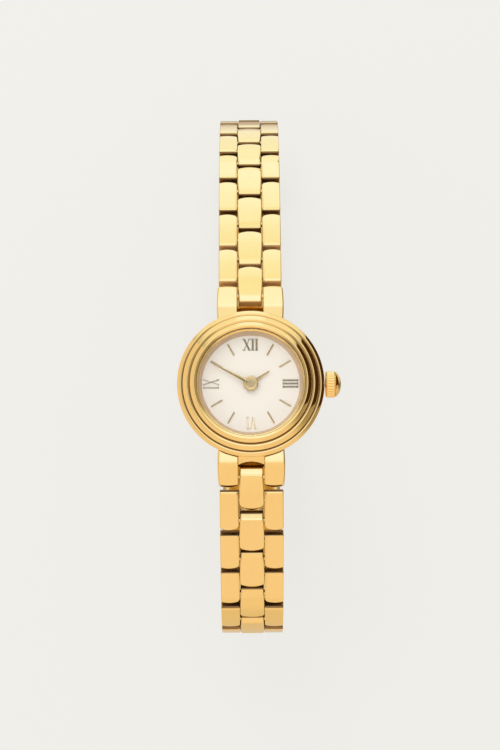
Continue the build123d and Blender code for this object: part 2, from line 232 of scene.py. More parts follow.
class Maker:
    """Adds nodes to one shader or geometry tree; a node that is given stands for its first output."""

    def __init__(self, tree, material=None):
        self.tree, self.material = tree, material

    def put(self, node, sockets):
        for key, given in sockets.items():
            socket = node.inputs[key]
            if isinstance(given, Value):
                given = given.socket
            if isinstance(given, bpy.types.Node):
                given = given.outputs[0]
            if isinstance(given, bpy.types.NodeSocket):
                self.tree.links.new(given, socket)
            else:
                socket.default_value = given

    def add(self, kind, sockets=None, stops=(), **settings):
        node = self.tree.nodes.new(kind)
        for key, setting in settings.items():
            setattr(node, key, setting)
        if stops:
            elements = node.color_ramp.elements
            while len(elements) < len(stops):
                elements.new(1.0)
            for element, (place, colour) in zip(elements, stops):
                element.position, element.color = place, opaque(colour)
        self.put(node, sockets or {})
        return node

    def maths(self, operation, *values):
        node = self.add("ShaderNodeMath", dict(enumerate(values)), operation=operation)
        return self.value(node)

    def value(self, node, output=0):
        return Value(self, node.outputs[output])

    def place(self):
        """Object coordinates, in metres."""
        return self.add("ShaderNodeTexCoord").outputs["Object"]

    def axes(self, vector):
        """The three parts of a vector."""
        parts = self.add("ShaderNodeSeparateXYZ", {"Vector": vector})
        return [self.value(parts, axis) for axis in range(3)]

    def mix(self, factor, first, second):
        """A blend of two colours."""
        sockets = {"Factor": factor, 6: opaque(first), 7: opaque(second)}
        return self.add("ShaderNodeMix", sockets, data_type="RGBA").outputs[2]

    def mix_shaders(self, factor, first, second):
        return self.add("ShaderNodeMixShader", {0: factor, 1: first, 2: second})

    def glow(self, colour, strength=1.0):
        return self.add("ShaderNodeEmission", {"Color": opaque(colour), "Strength": strength})

    def geometry(self, kind, **sockets):
        return self.add("GeometryNode" + kind, sockets)

    def join(self, *parts):
        node = self.geometry("JoinGeometry")
        for part in parts:
            self.put(node, {"Geometry": part})
        return node

    def seen_rays(self):
        """Which rays come from the camera, a mirror or through glass, and which from a mirror."""
        path = self.add("ShaderNodeLightPath")
        glossy = self.value(path, "Is Glossy Ray")
        seen = self.value(path, "Is Camera Ray").maths("MAXIMUM", glossy)
        return seen.maths("MAXIMUM", self.value(path, "Is Transmission Ray")), glossy

    def finish(self, surface):
        """End a material in its surface, and hand it out."""
        self.add("ShaderNodeOutputMaterial", {"Surface": surface})
        return self.material

    def principled(self, **sockets):
        names = {key.replace("_", " "): value for key, value in sockets.items()}
        return self.finish(self.add("ShaderNodeBsdfPrincipled", names))


def new_shader(name):
    """The maker of an empty material's nodes."""
    material = bpy.data.materials.new(name)
    material.use_nodes = True
    material.node_tree.nodes.clear()
    return Maker(material.node_tree, material)


def object_point(maker, scale=(1.0, 1.0, 1.0), turn=(0.0, 0.0, 0.0)):
    """Object coordinates in millimetres, stretched and turned."""
    stretch = tuple(axis / MM for axis in scale)
    sockets = {"Vector": maker.place(), "Scale": stretch, "Rotation": turn}
    return maker.add("ShaderNodeMapping", sockets)


def noise(maker, point, scale, detail=3.0, roughness=0.5):
    sockets = {"Vector": point, "Scale": scale, "Detail": detail, "Roughness": roughness}
    return maker.value(maker.add("ShaderNodeTexNoise", sockets))


def bump(maker, height, distance, strength=1.0):
    sockets = {"Height": height, "Distance": distance * MM, "Strength": strength}
    return maker.add("ShaderNodeBump", sockets)


def dimmed(colour, shares):
    return tuple(channel * share for channel, share in zip(colour, shares))


# Materials


def polished_gilt(name, colour):
    """Mirror-bright plating with faint waves, hairline scratches and a little smear."""
    maker = new_shader(name)
    waves = noise(maker, object_point(maker), 0.55, 2.0)
    smear = noise(maker, object_point(maker, (1.0, 0.45, 1.0)), 1.7, 4.0)
    hairs = noise(maker, object_point(maker, (9.0, 0.6, 9.0), (0.0, 0.0, 0.5)), 2.4, 2.0)
    return maker.principled(
        Base_Color=maker.mix(smear, dimmed(colour, (0.97, 0.94, 0.86)), colour),
        Metallic=1.0,
        Roughness=0.05 + 0.06 * smear,
        Normal=bump(maker, waves * 1.0 + hairs * 0.05, 0.02, 0.3),
    )


def brushed_gilt(name, colour):
    """Gilt with a straight grain, for the back and the clasp's inner leaves."""
    maker = new_shader(name)
    grain = noise(maker, object_point(maker, (12.0, 0.35, 12.0)), 2.0, 5.0, 0.7)
    cloud = noise(maker, object_point(maker), 0.4, 2.0)
    worn = dimmed(colour, (0.88, 0.84, 0.78))
    return maker.principled(
        Base_Color=maker.mix(grain * 0.6 + cloud * 0.4, worn, colour),
        Metallic=1.0,
        Roughness=0.24 + 0.16 * grain,
        Normal=bump(maker, grain, 0.012, 0.5),
    )


def ivory_dial(name, colour):
    """Ivory lacquer over a fine sunray grain."""
    maker = new_shader(name)
    point = object_point(maker)
    across, up, _ = maker.axes(point)
    angle = across.maths("ARCTAN2", up)
    ray_point = maker.add("ShaderNodeCombineXYZ", {"X": angle * 34.0, "Y": 0.0, "Z": 0.0})
    rays = noise(maker, ray_point, 1.0, 4.0, 0.6)
    grit = noise(maker, point, 22.0, 3.0)
    pale = tuple(min(1.0, channel * 1.05) for channel in colour)
    deep = dimmed(colour, (0.96, 0.94, 0.9))
    return maker.principled(
        Base_Color=maker.mix(rays * 0.8 + grit * 0.2, deep, pale),
        Metallic=0.12,
        Roughness=0.34 + 0.12 * rays,
        Coat_Weight=0.25,
        Coat_Roughness=0.12,
        Normal=bump(maker, rays * 0.7 + grit * 0.3, 0.006, 0.35),
    )


def watch_glass(name):
    """Clear glass that lets the lamps through to the dial."""
    maker = new_shader(name)
    return maker.principled(
        Base_Color=(1.0, 1.0, 1.0, 1.0),
        Transmission_Weight=1.0,
        IOR=1.45,
        Alpha=0.12,
        Roughness=0.01 + 0.01 * noise(maker, object_point(maker), 0.35, 2.0),
    )


def marked_metal(
    name, dark, pale, marks, metallic, rough, spread, relief=0.0, grain=(1.0, 1.0, 1.0)
):
    """Metal whose colour, roughness and relief follow its marks, given by their noise values."""
    maker = new_shader(name)
    depth = noise(maker, object_point(maker, grain), *marks)
    sockets = {"Base_Color": maker.mix(depth, dark, pale), "Roughness": rough + spread * depth}
    if relief:
        sockets["Normal"] = bump(maker, depth, 0.01, relief)
    return maker.principled(Metallic=metallic, **sockets)


APPLIED = {"marks": (4.0, 3.0), "metallic": 0.9, "rough": 0.2, "spread": 0.1}
SATIN = {"marks": (1.5, 2.0), "metallic": 0.35, "rough": 0.55, "spread": 0.1}
MACHINED = {"marks": (3.0, 4.0, 0.6), "metallic": 1.0, "spread": 0.12, "relief": 0.4}
NICKEL = {**MACHINED, "rough": 0.3, "grain": (8.0, 0.5, 8.0)}
WINDING = {**MACHINED, "rough": 0.35, "grain": (14.0, 0.4, 0.4)}
METALS = {
    # Painted reflection: the numeral tones are one gilt, dark where it would mirror dark and pale where it would
    # mirror light
    "dark_gold": ("Numeral painted dark reflection", (0.22, 0.17, 0.09), (0.36, 0.29, 0.15), APPLIED),
    "hand_gilt": ("Hand gilt", (0.66, 0.50, 0.22), (0.84, 0.68, 0.34), APPLIED),
    # Painted shade: a dark gilt for the bezel's grooves and the links' slots, and a lighter one for the slots by
    # the case
    "groove": ("Groove and slot painted shade", (0.24, 0.14, 0.04), (0.36, 0.22, 0.08), APPLIED),
    "lit_slot_shade": ("Lit slot painted shade", (0.64, 0.36, 0.13), (0.76, 0.46, 0.19), SATIN),
    "flange": ("Flange gilt", (0.68, 0.5, 0.32), (0.76, 0.58, 0.38), SATIN),
    "hand_shade": ("Hand shade", (0.20, 0.17, 0.07), (0.30, 0.25, 0.11), APPLIED),
    "hub_cap": ("Hub cap", (0.50, 0.39, 0.2), (0.58, 0.47, 0.26), SATIN),
    # Painted half reflection for the nine and a painted highlight for the six
    "numeral_half_reflection": ("Numeral painted half reflection", (0.4, 0.33, 0.2), (0.54, 0.45, 0.28), APPLIED),
    "numeral_highlight": ("Numeral painted highlight", (0.9, 0.72, 0.36), (0.94, 0.8, 0.46), APPLIED),
    "wheel_brass": ("Wheel brass", (0.6, 0.45, 0.2), (0.8, 0.62, 0.3), {**MACHINED, "rough": 0.25}),
    "movement_nickel": ("Movement nickel", (0.5, 0.49, 0.46), (0.66, 0.65, 0.6), NICKEL),
    "battery_steel": ("Battery steel", (0.55, 0.56, 0.57), (0.7,) * 3, {**MACHINED, "rough": 0.28}),
    "copper_winding": ("Copper winding", (0.5, 0.2, 0.08), (0.75, 0.36, 0.16), WINDING),
    "stem_steel": ("Stem steel", (0.5,) * 3, (0.68,) * 3, {**MACHINED, "rough": 0.25}),
}
MATERIALS = {}


def make_materials(colours):
    gilt = tuple(colours.gilt)
    MATERIALS["polished_gold"] = polished_gilt("Polished gilt", gilt)
    MATERIALS["brushed_gold"] = brushed_gilt("Brushed gilt", dimmed(gilt, (0.93,) * 3))
    MATERIALS["ivory_dial"] = ivory_dial("Ivory dial", tuple(colours.dial))
    MATERIALS["crystal"] = watch_glass("Watch glass")
    for slot, (name, dark, pale, values) in METALS.items():
        MATERIALS[slot] = marked_metal(name, dark, pale, **values)


# Meshes


def plain_mesh(name, points, faces):
    """A mesh from points in millimetres."""
    mesh = bpy.data.meshes.new(name)
    mesh.from_pydata([Vector(point) * MM for point in points], [], faces)
    return mesh


def place_mesh(name, mesh):
    """Put a mesh into the scene as an object at the origin."""
    piece = bpy.data.objects.new(name, mesh)
    bpy.context.scene.collection.objects.link(piece)
    return piece


def finish_mesh(name, mesh, slot, sharp=40.0):
    """Merge and orient a mesh, and shade it smooth but for its sharp edges."""
    builder = bmesh.new()
    builder.from_mesh(mesh)
    bmesh.ops.remove_doubles(builder, verts=builder.verts, dist=1e-7)
    bmesh.ops.recalc_face_normals(builder, faces=builder.faces)
    builder.to_mesh(mesh)
    builder.free()
    mesh.polygons.foreach_set("use_smooth", [True] * len(mesh.polygons))
    mesh.set_sharp_from_angle(angle=math.radians(sharp))
    mesh.materials.clear()
    mesh.materials.append(MATERIALS[slot])
    return place_mesh(name, mesh)


def new_piece(name, points, faces, slot, sharp=40.0):
    return finish_mesh(name, plain_mesh(name, points, faces), slot, sharp)


def turned_piece(name, profile, steps, slot, sharp=40.0, closed=True):
    return new_piece(name, *turned_form(profile, steps, closed), slot, sharp)


def repaint(piece, slots, choose):
    """Add materials to a piece; choose gives a face's index among them, from 1, or 0."""
    for slot in slots:
        piece.data.materials.append(MATERIALS[slot])
    for face in piece.data.polygons:
        face.material_index = choose(face)


class Shape:
    """Points and faces gathered from several closed forms."""

    def __init__(self):
        self.points, self.faces = [], []

    def add(self, points, faces, place=None):
        start = len(self.points)
        self.points += [place @ Vector(point) for point in points] if place else points
        self.faces += [tuple(index + start for index in face) for face in faces]

    def piece(self, name, slot, sharp=40.0):
        return new_piece(name, self.points, self.faces, slot, sharp)


def turned_form(profile, steps, closed=True):
    """Turn a profile of (radius, height) about Z; an open one starts and ends on the axis."""
    points, rings = [], []
    for radius, height in profile:
        count = steps if radius > 1e-6 else 1
        rings.append(range(len(points), len(points) + count))
        for step in range(count):
            turn = 2 * math.pi * step / steps
            points.append((radius * math.cos(turn), radius * math.sin(turn), height))
    faces = []
    for first, second in zip(rings, [*rings[1:], *rings[:closed]]):
        for step in range(steps):
            after = (step + 1) % steps
            loop = [first[step % len(first)], first[after % len(first)]]
            loop += [second[after % len(second)], second[step % len(second)]]
            face = tuple(dict.fromkeys(loop))
            if len(face) > 2:
                faces.append(face)
    return points, faces


def rod_form(radius, start, end, steps):
    """A plain rod along Z."""
    return turned_form([(0, start), (radius, start), (radius, end), (0, end)], steps, False)


def arc(centre, radius, start, end, steps):
    """Points of an arc or a quarter ellipse; the angles are in degrees."""
    wide, high = radius if isinstance(radius, tuple) else (radius, radius)
    points = []
    for step in range(steps + 1):
        angle = math.radians(start + (end - start) * step / steps)
        points.append((centre[0] + wide * math.cos(angle), centre[1] + high * math.sin(angle)))
    return points


def round_off(reach, radius):
    """How far a rounded corner has drawn in at a given reach from its end."""
    if reach >= radius:
        return 0.0
    return radius - math.sqrt(max(0.0, radius**2 - (radius - max(0.0, reach)) ** 2))


def bent(reach, blend):
    """The run past a bend, eased in from a blend before the bend to a blend behind it."""
    lean = max(0.0, reach + blend)
    return lean - blend if lean > 2 * blend else lean * lean / (4 * blend)


def end_stations(start, finish, near, far, middle):
    """Places along a form, close together over its two rounded ends."""
    turns = [math.pi / 2 * step / 8 for step in range(9)]
    span = finish - far - start - near
    places = [start + near * (1 - math.cos(turn)) for turn in turns[:-1]]
    places += [start + near + span * step / middle for step in range(middle)]
    return places + [finish - far * (1 - math.sin(turn)) for turn in turns]


def skin(size, levels):
    """Faces over sections of equal size, with a cap at each end."""
    faces = []
    for base in range(0, (levels - 1) * size, size):
        for index in range(size):
            after = (index + 1) % size
            faces.append((base + index, base + after, base + size + after, base + size + index))
    last = (levels - 1) * size
    return [*faces, tuple(reversed(range(size))), tuple(range(last, last + size))]


def lofted_form(places, left, right, top, bottom, rolls, under=0.08, bow=0.0):
    """A block drawn through sections across Y.

    left, right, top and bottom are functions of y. rolls gives the (across, height)
    rounding of the left and the right top edge at each y, and bow curves the far end."""
    points = []
    centre, reach = (places[0] + places[-1]) / 2, (places[-1] - places[0]) / 2
    for y in places:
        low, high, west, east = bottom(y), top(y), left(y), right(y)
        (west_wide, west_high), (east_wide, east_high) = rolls(y)
        west_high = min(west_high, 0.7 * (high - low))
        east_high = min(east_high, 0.7 * (high - low))
        section = arc((east - under, low + under), under, -90, 0, 3)
        section += arc((east - east_wide, high - east_high), (east_wide, east_high), 0, 90, 7)
        flat = east - east_wide - west - west_wide
        section += [(east - east_wide - flat * step / 6, high) for step in range(1, 6)]
        section += arc((west + west_wide, high - west_high), (west_wide, west_high), 90, 180, 7)
        section += arc((west + under, low + under), under, 180, 270, 3)
        middle, half = (west + east) / 2, (east - west) / 2
        for x, z in section:
            pull = bow * ((x - middle) / half) ** 2 * max(0.0, (y - centre) / reach) ** 2
            points.append((x, y - pull, z))
    return points, skin(len(section), len(places))


def eased(low, high, value):
    """0 below low, 1 above high and a smooth step between them."""
    share = min(1.0, max(0.0, (value - low) / (high - low)))
    return share * share * (3 - 2 * share)


def bar_form(outline, low, high, bevel):
    """An upright prism with a bevelled top edge, from a plan outline."""
    size = len(outline)
    inner = []
    for index, (x, y) in enumerate(outline):
        before, after = outline[index - 1], outline[(index + 1) % size]
        edges = [Vector((x - before[0], y - before[1])), Vector((after[0] - x, after[1] - y))]
        normals = [Vector((-edge.y, edge.x)).normalized() for edge in edges]
        lean = normals[0] + normals[1]
        lean = lean * (bevel / max(0.2, lean.dot(normals[0])))
        inner.append((x + lean.x, y + lean.y))
    levels = ((outline, low), (outline, high - bevel), (inner, high))
    return [(x, y, height) for plan, height in levels for x, y in plan], skin(size, len(levels))


# Geometry node trees


def new_tree(name, inputs):
    """A geometry tree with named inputs, each given as (name, kind of socket, default)."""
    tree = bpy.data.node_groups.new(name, "GeometryNodeTree")
    tree.interface.new_socket("Geometry", in_out="OUTPUT", socket_type="NodeSocketGeometry")
    for label, kind, default in inputs:
        kind = "NodeSocket" + kind
        socket = tree.interface.new_socket(label, in_out="INPUT", socket_type=kind)
        if default is not None:
            socket.default_value = default
    maker = Maker(tree)
    entry = maker.add("NodeGroupInput")
    return tree, maker, {label: entry.outputs[label] for label, _, _ in inputs}


PLACED = (
    ("Turn", "Vector", (0.0, 0.0, 0.0)),
    ("Place", "Vector", (0.0, 0.0, 0.0)),
    ("Material", "Material", None),
)


def close_tree(maker, geometry, given):
    """Turn and place the geometry, and end the tree in Realize Instances and Set Material."""
    turn, place = given["Turn"], given["Place"]
    placed = maker.geometry("Transform", Geometry=geometry, Rotation=turn, Translation=place)
    real = maker.geometry("RealizeInstances", Geometry=placed)
    painted = maker.geometry("SetMaterial", Geometry=real, Material=given["Material"])
    maker.add("NodeGroupOutput", {"Geometry": painted})


def grown_piece(name, tree, values, slot, sharp=40.0):
    """Run a geometry tree once and keep its result as a plain mesh."""
    carrier = place_mesh(name + " carrier", bpy.data.meshes.new(name + " carrier"))
    modifier = carrier.modifiers.new("Nodes", "NODES")
    modifier.node_group = tree
    labels = {item.name: item.identifier for item in tree.interface.items_tree}
    for label, given in values.items():
        modifier[labels[label]] = given
    graph = bpy.context.evaluated_depsgraph_get()
    graph.update()
    mesh = bpy.data.meshes.new_from_object(carrier.evaluated_get(graph))
    carrier.modifiers.remove(modifier)
    bpy.data.objects.remove(carrier)
    mesh.name = name
    return finish_mesh(name, mesh, slot, sharp)


def link_row_tree():
    """One row of the bracelet: a link, or a pair that faces each other over two pins."""
    inputs = (
        ("Link", "Object", None),
        ("Paired", "Bool", False),
        ("Pins", "Int", 0),
        ("Pin spacing", "Float", 2.8 * MM),
        ("Pin radius", "Float", 0.4 * MM),
        ("Pin length", "Float", 3.5 * MM),
        *PLACED,
    )
    tree, maker, given = new_tree("Bracelet row", inputs)
    link = maker.geometry("ObjectInfo", Object=given["Link"]).outputs["Geometry"]
    mirrored = maker.geometry("Transform", Geometry=link, Scale=(-1.0, 1.0, 1.0))
    pair = maker.join(link, maker.geometry("FlipFaces", Mesh=mirrored))
    sockets = {"Switch": given["Paired"], "False": link, "True": pair}
    row = maker.add("GeometryNodeSwitch", sockets, input_type="GEOMETRY")
    step = maker.add("ShaderNodeCombineXYZ", {"Y": given["Pin spacing"]})
    places = maker.geometry("MeshLine", Count=given["Pins"], Offset=step)
    radius, depth = given["Pin radius"], given["Pin length"]
    rod = maker.geometry("MeshCylinder", Vertices=28, Radius=radius, Depth=depth)
    lying = maker.geometry("Transform", Geometry=rod, Rotation=(0.0, math.pi / 2, 0.0))
    pins = maker.geometry("InstanceOnPoints", Points=places, Instance=lying)
    close_tree(maker, maker.join(row, pins), given)
    return tree


def ring_tree(name):
    """Copies of one object round a circle, or all but the first of every few copies."""
    inputs = (("Part", "Object", None), ("Count", "Int", 12), ("Skip", "Int", 1), *PLACED)
    tree, maker, given = new_tree(name, inputs)
    part = maker.geometry("ObjectInfo", Object=given["Part"]).outputs["Geometry"]
    points = maker.geometry("MeshLine", Count=given["Count"], Offset=(0.0, 0.0, 0.0))
    index = maker.value(maker.geometry("InputIndex"))
    turn = index / Value(maker, given["Count"]) * (-2 * math.pi)
    kept = index.maths("MODULO", Value(maker, given["Skip"])).maths("GREATER_THAN", 0.5)
    every = Value(maker, given["Skip"]).maths("LESS_THAN", 1.5)
    copies = maker.geometry(
        "InstanceOnPoints",
        Points=points,
        Selection=kept.maths("MAXIMUM", every),
        Instance=part,
        Rotation=maker.add("ShaderNodeCombineXYZ", {"Z": turn}),
    )
    close_tree(maker, copies, given)
    return tree


# Bracelet places


def link_names(side):
    """Nodes of one half of the bracelet, from the lugs to the clasp."""
    names, number = [], 1
    while f"{side}_centre_link_{number:02d}" in frame["nodes"]:
        names.append(f"{side}_centre_link_{number:02d}")
        if f"{side}_side_links_{number:02d}" in frame["nodes"]:
            names.append(f"{side}_side_links_{number:02d}")
        number += 1
    return names


# How far a hinge's lower limit lies past the straight chain, in degrees
PAST_STRAIGHT = 3.0
# From the last row's own pin to where its next pin would be
LAST_SPACING = 2.8


def row_places(side):
    """Each row's name, own pin, spacing to the next pin and angle below the dial plane."""
    direction = 1 if side == "twelve" else -1
    names = link_names(side)
    after = {name: HINGES[following] for name, following in zip(names, names[1:])}
    if side == "six":
        after[names[-1]] = HINGES["clasp_inner_blade"]
    rows, heading = [], 0.0
    for name in names:
        pin, spacing = HINGES[name], LAST_SPACING
        if name in after:
            run = after[name] - pin
            heading = math.atan2(-run.z, direction * run.y) % (2 * math.pi)
            spacing = run.length
        else:
            heading += math.radians(-LOWER_LIMITS[name] - PAST_STRAIGHT)
        rows.append((name, pin, spacing, heading, direction))
    return rows


def dress(piece, body, node=None):
    """Let a piece ride on a body, and stand for a CAD node where one is named."""
    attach(piece, body)
    if node:
        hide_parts(node)


# Operators


class WATCH_OT_case(Operator):
    """Build the case with its lugs and crown tube"""

    bl_idname = "watch.case"
    bl_label = "Case"

    def execute(self, context):
        sizes = context.scene.watch_case
        shape = Shape()
        low, high, edge, levels = BACK_HIGH.z, BEZEL_LOW.z, 0.12, 10
        rim = sizes.flank_radius - sizes.flank_swell - edge
        profile = [(sizes.bore_radius, low), (rim, low), *arc((rim, low + edge), edge, -90, -10, 5)]
        for level in range(1, levels):
            share = level / levels
            height = low + edge + (high - low - 2 * edge) * share
            profile.append((sizes.flank_radius - sizes.flank_swell * (2 * share - 1) ** 2, height))
        profile += [*arc((rim, high - edge), edge, 10, 90, 5), (sizes.bore_radius, high)]
        shape.add(*turned_form(profile, 200))
        self.add_lugs(shape, sizes)
        self.add_bridges(shape, sizes)
        self.add_rods(shape, sizes)
        dress(shape.piece("case_shell", GILT, 50.0), "case", "case_body")
        return {"FINISHED"}

    def add_lugs(self, shape, sizes):
        """Four lugs; the upper right one is drawn, and the others mirror it."""
        start, finish = sizes.lug_root, sizes.lug_nose
        nose, nose_base, inner_corner, outer_corner = 0.34, 1.2, 0.5, 0.42
        root_floor, floor_fall, floor_lift, bend_blend = 0.75, 0.65, 0.9, 0.2

        def along(y):
            return (y - start) / (finish - start)

        def left(y):
            return sizes.lug_inner + round_off(finish - y, inner_corner)

        def right(y):
            swell = sizes.lug_bulge * (1 - (along(y) * 2 - 1) ** 2)
            return sizes.lug_outer + swell - round_off(finish - y, outer_corner)

        def top(y):
            slope = (sizes.lug_root_top - sizes.lug_nose_top) / (finish - sizes.lug_bend)
            high = sizes.lug_root_top - slope * bent(y - sizes.lug_bend, bend_blend)
            return nose_base + (high - nose_base) * (1 - round_off(finish - y, nose) / nose)

        def bottom(y):
            lift = floor_lift * round_off(finish - y, inner_corner) / inner_corner
            return root_floor - floor_fall * along(y) + lift

        def rolls(_):
            return (0.14, 0.16), (0.16, 0.22)

        places = end_stations(start, finish, 0.1, 0.5, 22)
        points, faces = lofted_form(places, left, right, top, bottom, rolls, 0.06, 0.1)
        for across in (1, -1):
            for side in (1, -1):
                shape.add(points, faces, Matrix.Diagonal((across, side, 1, 1)))

    def add_bridges(self, shape, sizes):
        """A low bridge between each pair of lugs, arched and sloping down round the first link."""
        half, steps, arch, shorter = sizes.lug_inner + 0.1, 20, 0.5, 0.5
        start, finish, low, top = 9.2, 11.22, 0.2, sizes.bridge_top
        foot, slope_run, slope_rise, lip_run, lip_drop = 0.1, 0.12, 0.22, 0.05, 0.04
        for side, reach in ((1, sizes.bridge_reach - shorter), (-1, sizes.bridge_reach)):
            points = []
            for step in range(steps + 1):
                x = half - 2 * half * step / steps
                edge = reach + arch * (x / half) ** 2
                section = [(start, low), (finish, low), (finish, low + foot)]
                section += [(finish - slope_run, low + slope_rise), (edge, top - lip_drop)]
                section += [(edge - lip_run, top), (start, top)]
                points += [(x, y, z) for y, z in section]
            shape.add(points, skin(len(section), steps + 1), Matrix.Diagonal((1, side, 1, 1)))

    def add_rods(self, shape, sizes):
        """The lugs' two pins and the tube under the crown."""
        tube_start, tube_length, lug_pin = 8.1, 1.9, 0.4
        rod = rod_form(lug_pin, -sizes.lug_inner, sizes.lug_inner, 28)
        for name in ("twelve_centre_link_01", "six_centre_link_01"):
            shape.add(*rod, Matrix.Translation(HINGES[name]) @ LYING)
        place = Matrix.Translation((tube_start, 0, HINGES["crown"].z)) @ LYING
        shape.add(*rod_form(sizes.tube_radius, 0, tube_length, 48), place)


class WATCH_OT_back(Operator):
    """Build the snap-on case back"""

    bl_idname = "watch.back"
    bl_label = "Case back"

    def execute(self, context):
        radius, low, high = BACK_HIGH.x, BACK_LOW.z, BACK_HIGH.z
        roll, rise, depth = 0.45, 0.4, 0.06
        rim, flute = radius - roll, radius - 1.35
        floor_start, floor_end, flute_end = flute + 0.05, flute + 0.15, flute + 0.2
        profile = [(0, low), (flute, low), (floor_start, low + depth), (floor_end, low + depth)]
        profile += [(flute_end, low), (rim, low), *arc((rim, low + rise), (roll, rise), -90, 0, 8)]
        profile += [(radius, high), (0, high)]
        piece = turned_piece("case_back_plate", profile, 160, BRUSHED_GILT, 35.0, False)
        dress(piece, "case", "case_back")
        return {"FINISHED"}


class WATCH_OT_bezel(Operator):
    """Build the bezel of stepped, rounded rings"""

    bl_idname = "watch.bezel"
    bl_label = "Bezel"

    def execute(self, context):
        sizes = context.scene.watch_bezel
        low, high = BEZEL_LOW.z, BEZEL_HIGH.z
        steps = (sizes.outer_radius, sizes.first_step, sizes.second_step, sizes.seat_radius)
        rise = (high - low) / (len(steps) - 1)
        profile = []
        for ring, (outer, inner) in enumerate(zip(steps, steps[1:])):
            profile += self.ring(sizes, outer, inner, low + ring * rise, rise)
        profile += [(sizes.seat_radius, GLASS_LOW.z), (sizes.ledge, GLASS_LOW.z - 0.07)]
        profile += [(sizes.ledge, low), (sizes.ledge + 0.6, low)]
        piece = turned_piece("bezel_rings", profile, 256, GILT, 50.0)
        # Painted shade in the grooves between the rings
        self.paint_groove_shade(piece, sizes, steps[1:])
        self.inner_flange(sizes, low + 0.03)
        dress(piece, "case", "bezel")
        return {"FINISHED"}

    def ring(self, sizes, outer, inner, base, rise):
        """One ring's outline, from its outer foot over its crest into the groove behind it."""
        shoulder, tip, crest = 0.1, 0.28, outer - sizes.crest_share * (outer - inner)
        top, outer_end = base + rise, 90 - sizes.outer_slope
        climb, fall = math.radians(sizes.outer_slope), math.radians(sizes.inner_slope)
        over = arc((crest, top - tip), tip, outer_end, 90 + sizes.inner_slope, 6)
        run = outer - shoulder * (1 - math.sin(climb)) - over[0][0]
        height = over[0][1] - run * math.tan(climb) - shoulder * math.cos(climb)
        edge, floor = inner + sizes.groove, top - sizes.groove_depth
        end = over[-1][1] - (over[-1][0] - edge) * math.tan(fall)
        points = [(outer, base), *arc((outer - shoulder, height), shoulder, 0, outer_end, 6), *over]
        return [*points, (edge, end), (edge, floor), (inner, floor)]

    def paint_groove_shade(self, piece, sizes, steps):
        """Paint shade into the grooves and the glass seat: a dark gilt stands in for the shade there."""
        slack = 0.004

        def choose(face):
            radius = face.center.xy.length / MM
            return int(any(inner - slack < radius < inner + sizes.groove + slack for inner in steps))

        repaint(piece, ["groove"], choose)

    def inner_flange(self, sizes, low):
        """The sloping flange between the glass and the dial."""
        outer = sizes.ledge - 0.02
        profile = [(sizes.dial_opening, low), (outer, GLASS_LOW.z - 0.12), (outer, low)]
        dress(turned_piece("dial_flange", profile, 192, "flange", 30.0), "case")


class WATCH_OT_glass(Operator):
    """Build the flat watch glass with its ground edge"""

    bl_idname = "watch.glass"
    bl_label = "Glass"

    def execute(self, context):
        radius, low, high = GLASS_HIGH.x, GLASS_LOW.z, GLASS_HIGH.z
        edge, foot = 0.12, 0.04
        profile = [(0, low), (radius - foot, low), (radius, low + foot), (radius, high - edge)]
        profile += [(radius - edge, high), (0, high)]
        piece = turned_piece("watch_glass", profile, 192, "crystal", 20.0, False)
        dress(piece, "case", "crystal")
        return {"FINISHED"}


class WATCH_OT_dial(Operator):
    """Build the dial plate, the stick markers and the Roman numerals"""

    bl_idname = "watch.dial"
    bl_label = "Dial"

    def execute(self, context):
        bore, radius, low, high = 0.62, DIAL_HIGH.x, DIAL_LOW.z, DIAL_HIGH.z
        profile = [(bore, low), (radius, low), (radius, high), (bore, high)]
        dress(turned_piece("dial_plate", profile, 192, "ivory_dial"), "case", "dial")
        self.sticks(high)
        self.numerals(context.scene.watch_dial, high)
        return {"FINISHED"}

    def sticks(self, base):
        inner, outer, half, slope = 4.46, 6.27, 0.11, 0.1
        points = [(-half, inner, base), (half, inner, base), (half, outer, base)]
        points += [(-half, outer, base), (0, inner + slope, MARKER_TOP)]
        points.append((0, outer - slope, MARKER_TOP))
        faces = [(3, 2, 1, 0), (1, 2, 5, 4), (3, 0, 4, 5), (0, 1, 4), (2, 3, 5)]
        pattern = new_piece("stick", points, faces, GILT)
        values = {"Part": pattern, "Count": 12, "Skip": 3, "Material": MATERIALS["hand_gilt"]}
        piece = grown_piece("hour_sticks", ring_tree("Hour sticks"), values, "hand_gilt", 10.0)
        bpy.data.objects.remove(pattern)
        # Painted shade: each stick's faces that face twelve take the dark hand shade
        repaint(piece, ["hand_shade"], lambda face: int(face.normal.y > 0.05))
        dress(piece, "case", "hour_markers")

    def numerals(self, sizes, base):
        shape, top, bevel = Shape(), base + sizes.numeral_relief, 0.015
        tall, wide = sizes.numeral_height, sizes.side_numeral_height
        plans = (
            ("XII", 0.0, tall, 1.14, 1.0),
            ("III", -90.0, wide, 0.96, 1.0),
            ("VI", 180.0, tall, 1.0, 1.0),
            ("IX", 90.0, wide, 1.05, 0.7),
        )
        for text, turn, height, stretch, weight in plans:
            place = Matrix.Rotation(math.radians(turn), 4, "Z")
            place = place @ Matrix.Translation((0.0, sizes.numeral_radius, 0.0))
            for outline in roman_strokes(text, height, sizes.stroke * weight, sizes.hair_stroke):
                outline = [(x * stretch, y) for x, y in outline]
                shape.add(*bar_form(outline, base, top, bevel), place)
        piece = shape.piece("roman_numerals", "dark_gold", 20.0)
        # The numerals are one gilt; their tones are painted reflection: dark on twelve and three, half dark on
        # nine, a painted highlight on six
        edge = -3 * MM

        def choose(face):
            return 2 if face.center.y < edge else int(face.center.x < edge)

        repaint(piece, ("numeral_half_reflection", "numeral_highlight"), choose)
        dress(piece, "case")


def stroke_outline(start, end, width):
    """A slanted stroke with level ends."""
    half = width / 2
    feet = [(start[0] - half, start[1]), (start[0] + half, start[1])]
    return [*feet, (end[0] + half, end[1]), (end[0] - half, end[1])]


LETTER_WIDTHS = {"I": 0.46, "V": 0.95, "X": 0.98}


